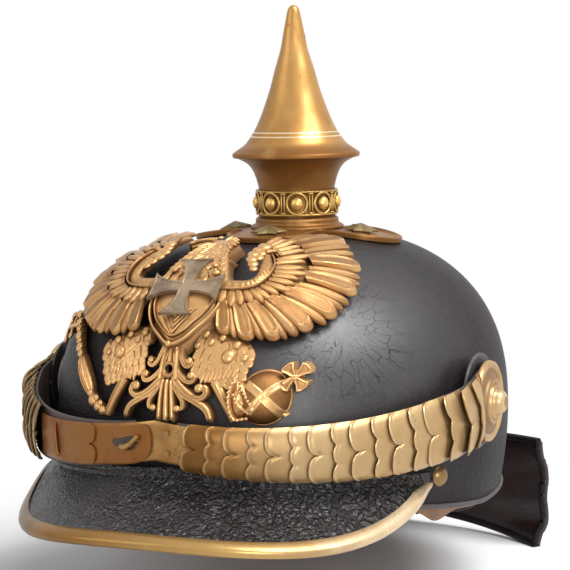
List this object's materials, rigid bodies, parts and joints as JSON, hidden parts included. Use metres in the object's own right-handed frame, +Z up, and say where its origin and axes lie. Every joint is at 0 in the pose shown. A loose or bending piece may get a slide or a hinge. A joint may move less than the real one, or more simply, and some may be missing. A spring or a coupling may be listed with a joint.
{
  "type": "spiked dress helmet",
  "caption": "Military dress helmet of black leather with a gilt eagle plate, squared front visor, scaled chin chain, pearl-ringed neck and lift-out spike, neck guard torn at one end.",
  "frame": {"origin": "middle of the head opening, at ear level", "axes": "+Z up along the spike, -Y the way the wearer looks, +X the wearer's left"},
  "size_m": [0.219, 0.2848, 0.2572],
  "materials": {
    "black_leather": "lacquered, worn",
    "lining_leather": "maroon lining, worn",
    "tan_leather": "worn",
    "brown_leather": "worn edge",
    "gilt_brass": "aged gilt",
    "brown_brass": "brown patina",
    "dark_bronze": "dark patina",
    "scale_brass": "worn",
    "trim_brass": "polished, worn",
    "silvered": "tarnished silver",
    "black_cockade": "black paint",
    "red_cockade": "faded red, white and black paint",
    "silk": "gathered silk"
  },
  "bodies": {
    "helmet": {"skull": "black_leather", "front_visor": "black_leather", "visor_trim": "trim_brass", "trim_studs": "gilt_brass", "neck_guard": "lining_leather", "rear_spine": "trim_brass", "spine_studs": "gilt_brass", "base_cross": "brown_brass", "star_studs": "dark_bronze", "stud_nuts": "dark_bronze", "spike_neck": "brown_brass", "pearl_ring": "gilt_brass", "eagle_plate": "gilt_brass", "eagle_nuts": "dark_bronze", "silver_cross": "silvered", "cross_pins": "dark_bronze", "rosette_left": "gilt_brass", "rosette_right": "gilt_brass", "rosette_screws": "dark_bronze", "rosette_nuts": "dark_bronze", "cockade_left": "black_cockade", "cockade_right": "red_cockade", "sweatband": "tan_leather", "silk_lining": "silk"},
    "chin_chain": {"left_chain_scales": "scale_brass", "left_chain_leather": "brown_leather", "left_end_plate": "scale_brass", "right_chain_scales": "scale_brass", "right_chain_leather": "brown_leather", "right_end_plate": "scale_brass", "chain_rivets": "gilt_brass"},
    "spike": {"spike": "brown_brass"}
  },
  "joints": [
    {"name": "chain_swing", "type": "hinge", "parent": "helmet", "child": "chin_chain", "pos_m": [0, -0.022, 0.0495], "axis": [-1, 0, 0], "range_deg": [0, 34]},
    {"name": "spike_lift", "type": "slide", "parent": "helmet", "child": "spike", "axis": [0, 0, 1], "range_m": [0, 0.04]}
  ]
}
